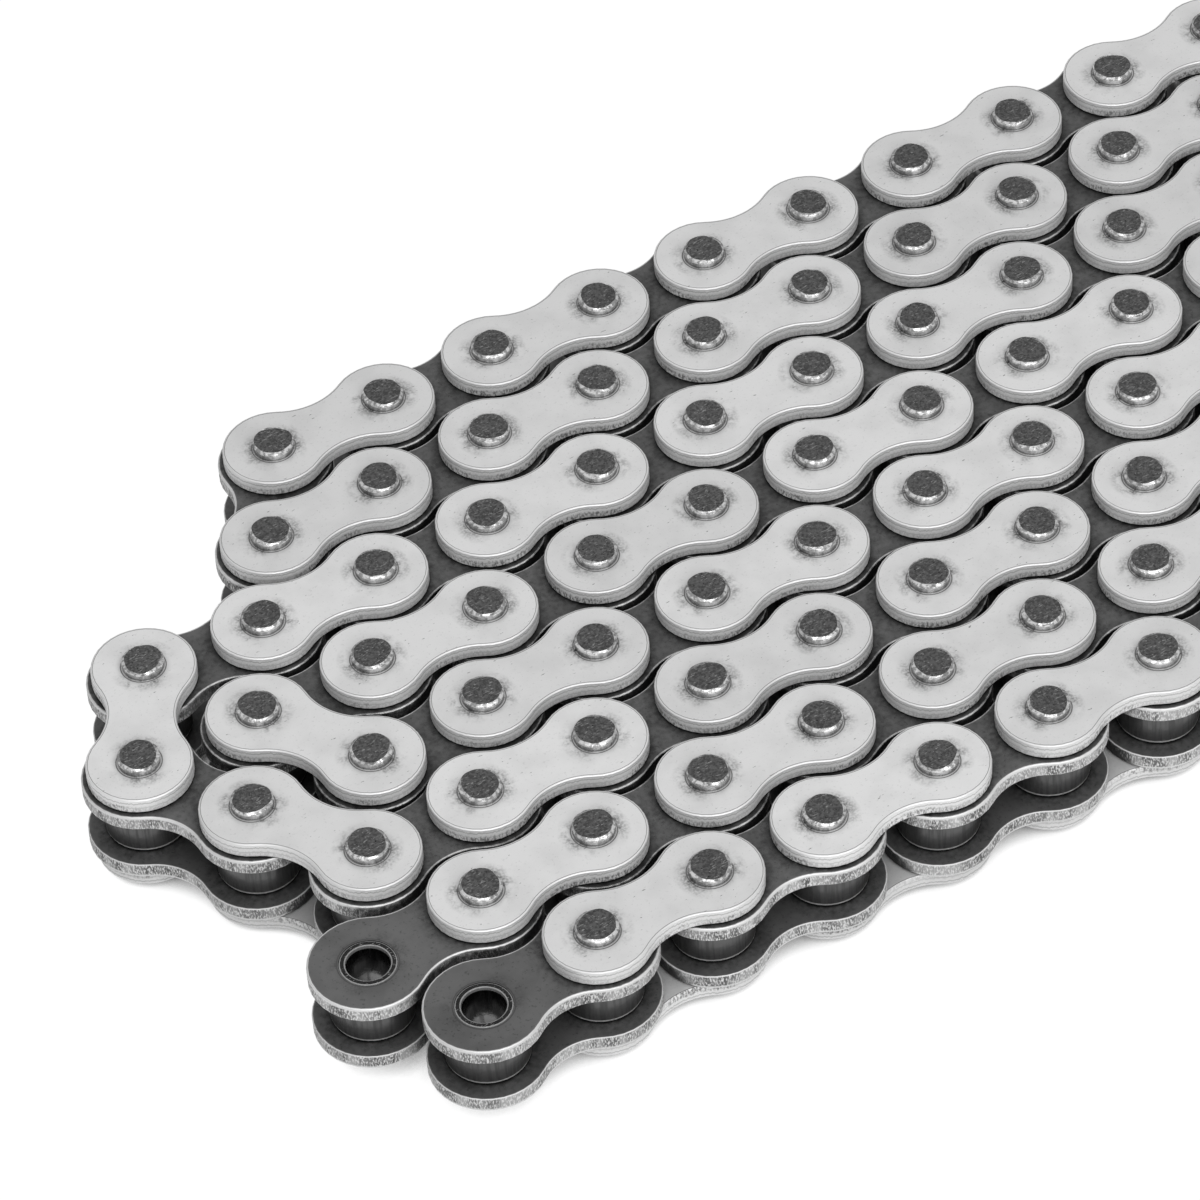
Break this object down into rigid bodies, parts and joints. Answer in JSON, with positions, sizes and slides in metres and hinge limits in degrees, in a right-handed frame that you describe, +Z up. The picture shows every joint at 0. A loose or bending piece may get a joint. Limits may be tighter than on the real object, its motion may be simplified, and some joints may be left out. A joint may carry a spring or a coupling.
{
  "type": "motorcycle chain",
  "caption": "Roller chain for a motorcycle, laid on its side and folded in rows: bright outer plates, dark inner plates, pins, bushes and rollers, both ends open.",
  "frame": {"origin": "middle of the folded chain's footprint, on the surface that the lower pin ends stand on", "axes": "+X along the rows, towards the longer rear rows' end; +Y from the front row to the back row; +Z up along the pins"},
  "size_m": [0.2844, 0.1078, 0.0172],
  "materials": {
    "outer_plate": "satin",
    "inner_plate": "satin",
    "pin": "satin",
    "bush": "gloss",
    "roller": "gloss"
  },
  "bodies": {
    "folded_run": {"folded_outer_plates": "outer_plate", "folded_inner_plates": "inner_plate", "folded_pins": "pin", "folded_bushes": "bush", "folded_end_bush": "bush", "folded_rollers": "roller"},
    "link_01": {"link_01_upper_plate": "inner_plate", "link_01_lower_plate": "inner_plate", "link_01_end_bush": "bush", "link_01_bush": "bush"},
    "link_02": {"link_02_upper_plate": "outer_plate", "link_02_lower_plate": "outer_plate", "link_02_pins": "pin"},
    "link_03": {"link_03_upper_plate": "inner_plate", "link_03_lower_plate": "inner_plate", "link_03_bushes": "bush"},
    "link_04": {"link_04_upper_plate": "outer_plate", "link_04_lower_plate": "outer_plate", "link_04_pins": "pin"},
    "link_05": {"link_05_upper_plate": "inner_plate", "link_05_lower_plate": "inner_plate", "link_05_bushes": "bush"},
    "link_06": {"link_06_upper_plate": "outer_plate", "link_06_lower_plate": "outer_plate", "link_06_pins": "pin"},
    "link_07": {"link_07_upper_plate": "inner_plate", "link_07_lower_plate": "inner_plate", "link_07_bushes": "bush"},
    "link_08": {"link_08_upper_plate": "outer_plate", "link_08_lower_plate": "outer_plate", "link_08_pins": "pin"},
    "link_09": {"link_09_upper_plate": "inner_plate", "link_09_lower_plate": "inner_plate", "link_09_bushes": "bush"},
    "link_10": {"link_10_upper_plate": "outer_plate", "link_10_lower_plate": "outer_plate", "link_10_pins": "pin"},
    "link_11": {"link_11_upper_plate": "inner_plate", "link_11_lower_plate": "inner_plate", "link_11_bushes": "bush"},
    "link_12": {"link_12_upper_plate": "outer_plate", "link_12_lower_plate": "outer_plate", "link_12_pins": "pin"},
    "link_01_left_roller": {"link_01_left_roller": "roller"},
    "link_01_right_roller": {"link_01_right_roller": "roller"},
    "link_03_left_roller": {"link_03_left_roller": "roller"},
    "link_03_right_roller": {"link_03_right_roller": "roller"},
    "link_05_left_roller": {"link_05_left_roller": "roller"},
    "link_05_right_roller": {"link_05_right_roller": "roller"},
    "link_07_left_roller": {"link_07_left_roller": "roller"},
    "link_07_right_roller": {"link_07_right_roller": "roller"},
    "link_09_left_roller": {"link_09_left_roller": "roller"},
    "link_09_right_roller": {"link_09_right_roller": "roller"},
    "link_11_left_roller": {"link_11_left_roller": "roller"},
    "link_11_right_roller": {"link_11_right_roller": "roller"}
  },
  "joints": [
    {"name": "link_12_hinge", "type": "hinge", "parent": "folded_run", "child": "link_12", "pos_m": [0.07145, -0.04662, 0.00859], "axis": [0, 0, 1], "range_deg": [0, 24]},
    {"name": "link_11_hinge", "type": "hinge", "parent": "link_12", "child": "link_11", "pos_m": [0.05564, -0.04513, 0.00859], "axis": [0, 0, 1], "range_deg": [0, 24]},
    {"name": "link_10_hinge", "type": "hinge", "parent": "link_11", "child": "link_10", "pos_m": [0.03977, -0.04513, 0.00859], "axis": [0, 0, 1], "range_deg": [0, 24]},
    {"name": "link_09_hinge", "type": "hinge", "parent": "link_10", "child": "link_09", "pos_m": [0.02389, -0.04513, 0.00859], "axis": [0, 0, 1], "range_deg": [0, 24]},
    {"name": "link_08_hinge", "type": "hinge", "parent": "link_09", "child": "link_08", "pos_m": [0.00802, -0.04513, 0.00859], "axis": [0, 0, 1], "range_deg": [0, 24]},
    {"name": "link_07_hinge", "type": "hinge", "parent": "link_08", "child": "link_07", "pos_m": [-0.00786, -0.04513, 0.00859], "axis": [0, 0, 1], "range_deg": [0, 24]},
    {"name": "link_06_hinge", "type": "hinge", "parent": "link_07", "child": "link_06", "pos_m": [-0.02373, -0.04513, 0.00859], "axis": [0, 0, 1], "range_deg": [0, 24]},
    {"name": "link_05_hinge", "type": "hinge", "parent": "link_06", "child": "link_05", "pos_m": [-0.03961, -0.04513, 0.00859], "axis": [0, 0, 1], "range_deg": [0, 24]},
    {"name": "link_04_hinge", "type": "hinge", "parent": "link_05", "child": "link_04", "pos_m": [-0.05548, -0.04513, 0.00859], "axis": [0, 0, 1], "range_deg": [0, 24]},
    {"name": "link_03_hinge", "type": "hinge", "parent": "link_04", "child": "link_03", "pos_m": [-0.07136, -0.04513, 0.00859], "axis": [0, 0, 1], "range_deg": [0, 24]},
    {"name": "link_02_hinge", "type": "hinge", "parent": "link_03", "child": "link_02", "pos_m": [-0.08723, -0.04513, 0.00859], "axis": [0, 0, 1], "range_deg": [0, 24]},
    {"name": "link_01_hinge", "type": "hinge", "parent": "link_02", "child": "link_01", "pos_m": [-0.10309, -0.04588, 0.00859], "axis": [0, 0, 1], "range_deg": [0, 24]},
    {"name": "link_01_left_roller_spin", "type": "hinge", "parent": "link_01", "child": "link_01_left_roller", "pos_m": [-0.11895, -0.04662, 0.00859], "axis": [0, 0, 1], "continuous": true},
    {"name": "link_01_right_roller_spin", "type": "hinge", "parent": "link_01", "child": "link_01_right_roller", "pos_m": [-0.10309, -0.04588, 0.00859], "axis": [0, 0, 1], "continuous": true},
    {"name": "link_03_left_roller_spin", "type": "hinge", "parent": "link_03", "child": "link_03_left_roller", "pos_m": [-0.08723, -0.04513, 0.00859], "axis": [0, 0, 1], "continuous": true},
    {"name": "link_03_right_roller_spin", "type": "hinge", "parent": "link_03", "child": "link_03_right_roller", "pos_m": [-0.07136, -0.04513, 0.00859], "axis": [0, 0, 1], "continuous": true},
    {"name": "link_05_left_roller_spin", "type": "hinge", "parent": "link_05", "child": "link_05_left_roller", "pos_m": [-0.05548, -0.04513, 0.00859], "axis": [0, 0, 1], "continuous": true},
    {"name": "link_05_right_roller_spin", "type": "hinge", "parent": "link_05", "child": "link_05_right_roller", "pos_m": [-0.03961, -0.04513, 0.00859], "axis": [0, 0, 1], "continuous": true},
    {"name": "link_07_left_roller_spin", "type": "hinge", "parent": "link_07", "child": "link_07_left_roller", "pos_m": [-0.02373, -0.04513, 0.00859], "axis": [0, 0, 1], "continuous": true},
    {"name": "link_07_right_roller_spin", "type": "hinge", "parent": "link_07", "child": "link_07_right_roller", "pos_m": [-0.00786, -0.04513, 0.00859], "axis": [0, 0, 1], "continuous": true},
    {"name": "link_09_left_roller_spin", "type": "hinge", "parent": "link_09", "child": "link_09_left_roller", "pos_m": [0.00802, -0.04513, 0.00859], "axis": [0, 0, 1], "continuous": true},
    {"name": "link_09_right_roller_spin", "type": "hinge", "parent": "link_09", "child": "link_09_right_roller", "pos_m": [0.02389, -0.04513, 0.00859], "axis": [0, 0, 1], "continuous": true},
    {"name": "link_11_left_roller_spin", "type": "hinge", "parent": "link_11", "child": "link_11_left_roller", "pos_m": [0.03977, -0.04513, 0.00859], "axis": [0, 0, 1], "continuous": true},
    {"name": "link_11_right_roller_spin", "type": "hinge", "parent": "link_11", "child": "link_11_right_roller", "pos_m": [0.05564, -0.04513, 0.00859], "axis": [0, 0, 1], "continuous": true}
  ]
}
